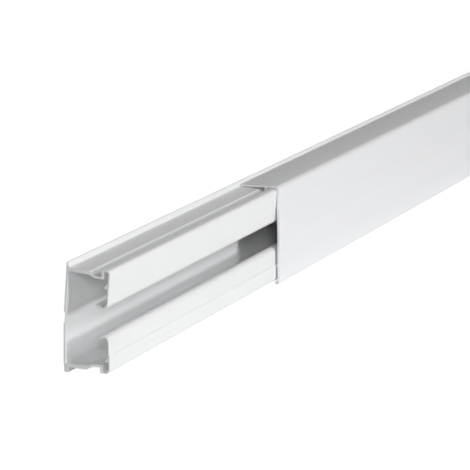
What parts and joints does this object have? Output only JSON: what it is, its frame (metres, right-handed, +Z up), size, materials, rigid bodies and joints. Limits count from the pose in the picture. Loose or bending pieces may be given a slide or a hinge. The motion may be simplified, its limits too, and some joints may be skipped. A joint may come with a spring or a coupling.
{
  "type": "cord cover raceway",
  "caption": "Surface cord raceway of white plastic: a wall channel with a lengthwise wiring slot and a clip-on cover that is set back from one end.",
  "frame": {"origin": "centre of the part's bounding box on the floor, with the raceway standing on its lower edge", "axes": "+X runs along the length towards the end where cover and channel are flush, +Y points out of the back towards the wall, +Z is up across the section"},
  "size_m": [2, 0.0247, 0.05],
  "materials": {
    "base_plastic": "satin",
    "cover_plastic": "satin"
  },
  "bodies": {
    "root": {"base_channel": "base_plastic", "clip_cover": "cover_plastic"}
  },
  "joints": []
}
